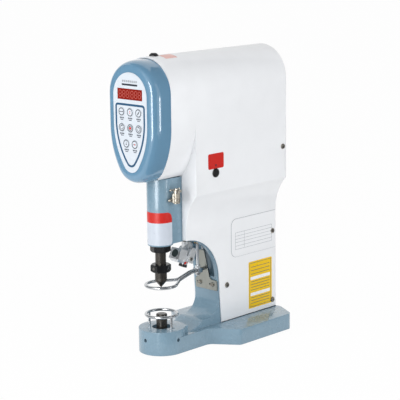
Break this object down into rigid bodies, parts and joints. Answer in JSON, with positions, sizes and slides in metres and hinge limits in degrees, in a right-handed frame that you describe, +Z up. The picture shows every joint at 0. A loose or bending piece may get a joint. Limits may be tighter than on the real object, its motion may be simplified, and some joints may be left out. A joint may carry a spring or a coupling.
{
  "type": "button attaching machine",
  "caption": "Bench press that sets snap buttons: ram and pointed punch over a die post, drop-down finger guard, pointer lamp, white covers and an oval keyed control panel.",
  "frame": {"origin": "on the table, under the ram axis", "axes": "+Z up along the ram, +X to the operator's right, +Y to the back"},
  "size_m": [0.132, 0.2576, 0.3974],
  "materials": {
    "frame_paint": "gloss blue grey enamel",
    "cover_paint": "smooth white paint",
    "nickel": "nickel plated",
    "bezel_gloss": "gloss blue plastic",
    "overlay_film": "satin film",
    "display_red": "dark red filter",
    "circuit_board": "solder mask",
    "rubber_black": "matt black",
    "bronze": "turned",
    "steel": "ground",
    "aluminium": "milled",
    "motor_black": "black anodised",
    "supply_case": "sheet",
    "black_oxide": "black oxide",
    "chrome": "bright chrome",
    "lamp_glass": "dark lens",
    "socket_plastic": "moulded",
    "rocker_red": "moulded"
  },
  "bodies": {
    "frame": {"machine_frame": "frame_paint", "left_cover": "cover_paint", "right_cover": "cover_paint", "rear_cover": "cover_paint", "cover_screws": "nickel", "bezel_screws": "nickel", "guard_plate_screws": "nickel", "pedal_socket": "nickel", "oil_cup": "nickel", "control_bezel": "bezel_gloss", "panel_overlay": "overlay_film", "display_lens": "display_red", "display_modules": "display_red", "panel_board": "circuit_board", "top_plug": "rubber_black", "side_plug": "rubber_black", "drive_belt": "rubber_black", "ram_bushes": "bronze", "guard_bush": "bronze", "ram_key": "steel", "screw_bearing": "steel", "drive_bolts": "steel", "guard_stop_pin": "steel", "guard_spring": "steel", "guard_plate": "steel", "drive_bracket": "aluminium", "servo_driver": "aluminium", "motor_body": "motor_black", "power_supply": "supply_case", "lower_die": "black_oxide", "die_set_screws": "black_oxide", "die_ring": "chrome", "lamp_stem": "chrome", "mains_inlet": "socket_plastic", "switch_body": "socket_plastic"},
    "ram": {"ram": "steel", "ram_nut": "bronze", "punch_shaft": "black_oxide", "jam_nut": "black_oxide", "clamp_nut": "black_oxide", "punch": "black_oxide"},
    "screw": {"drive_screw": "steel", "screw_pulley": "aluminium"},
    "motor": {"motor_shaft": "steel", "motor_pulley": "aluminium"},
    "guard": {"guard_rod": "steel", "guard_ring": "chrome", "guard_nut": "steel"},
    "lamp": {"lamp_head": "chrome", "lamp_lens": "lamp_glass"},
    "oil_lid": {"oil_cup_lid": "nickel"},
    "rocker": {"switch_rocker": "rocker_red"},
    "button_1": {"key_1": "overlay_film"},
    "button_2": {"key_2": "overlay_film"},
    "button_3": {"key_3": "overlay_film"},
    "button_4": {"key_4": "overlay_film"},
    "button_5": {"key_5": "overlay_film"},
    "button_6": {"key_6": "overlay_film"},
    "button_7": {"key_7": "overlay_film"},
    "button_8": {"key_8": "overlay_film"}
  },
  "joints": [
    {"name": "screw_spin", "type": "hinge", "parent": "frame", "child": "screw", "pos_m": [0, 0, 0.3], "axis": [0, 0, 1], "range_deg": [0, 641]},
    {"name": "ram_slide", "type": "slide", "parent": "frame", "child": "ram", "axis": [0, 0, -1], "range_m": [0, 0.0355]},
    {"name": "motor_spin", "type": "hinge", "parent": "frame", "child": "motor", "pos_m": [0, 0.062, 0.3], "axis": [0, 0, 1], "range_deg": [0, 899]},
    {"name": "guard_slide", "type": "slide", "parent": "frame", "child": "guard", "axis": [0, 0, -1], "range_m": [0, 0.03], "stiffness_N_per_m": 120, "springref_m": -0.02, "deforming": ["guard_spring"]},
    {"name": "lamp_swivel", "type": "hinge", "parent": "frame", "child": "lamp", "pos_m": [0, 0.0505, 0.1267], "axis": [1, 0, 0], "range_deg": [-12, 12]},
    {"name": "oil_lid_hinge", "type": "hinge", "parent": "frame", "child": "oil_lid", "pos_m": [0.025, 0.0119, 0.2168], "axis": [-1, 0, 0], "range_deg": [0, 95], "stiffness_Nm_per_rad": 0.003, "springref_deg": -28.65},
    {"name": "rocker_tilt", "type": "hinge", "parent": "frame", "child": "rocker", "pos_m": [0.002, 0.201, 0.256], "axis": [-1, 0, 0], "range_deg": [0, 14]},
    {"name": "button_1_press", "type": "slide", "parent": "frame", "child": "button_1", "axis": [0, 1, 0], "range_m": [0, 0.0004], "stiffness_N_per_m": 2500, "springref_m": -0.0002},
    {"name": "button_2_press", "type": "slide", "parent": "frame", "child": "button_2", "axis": [0, 1, 0], "range_m": [0, 0.0004], "stiffness_N_per_m": 2500, "springref_m": -0.0002},
    {"name": "button_3_press", "type": "slide", "parent": "frame", "child": "button_3", "axis": [0, 1, 0], "range_m": [0, 0.0004], "stiffness_N_per_m": 2500, "springref_m": -0.0002},
    {"name": "button_4_press", "type": "slide", "parent": "frame", "child": "button_4", "axis": [0, 1, 0], "range_m": [0, 0.0004], "stiffness_N_per_m": 2500, "springref_m": -0.0002},
    {"name": "button_5_press", "type": "slide", "parent": "frame", "child": "button_5", "axis": [0, 1, 0], "range_m": [0, 0.0004], "stiffness_N_per_m": 2500, "springref_m": -0.0002},
    {"name": "button_6_press", "type": "slide", "parent": "frame", "child": "button_6", "axis": [0, 1, 0], "range_m": [0, 0.0004], "stiffness_N_per_m": 2500, "springref_m": -0.0002},
    {"name": "button_7_press", "type": "slide", "parent": "frame", "child": "button_7", "axis": [0, 1, 0], "range_m": [0, 0.0004], "stiffness_N_per_m": 2500, "springref_m": -0.0002},
    {"name": "button_8_press", "type": "slide", "parent": "frame", "child": "button_8", "axis": [0, 1, 0], "range_m": [0, 0.0004], "stiffness_N_per_m": 2500, "springref_m": -0.0002}
  ],
  "couplings": [
    {"joint": "screw_spin", "follows": "ram_slide", "rad_per_m": 314.16},
    {"joint": "motor_spin", "follows": "ram_slide", "rad_per_m": 440.61}
  ]
}
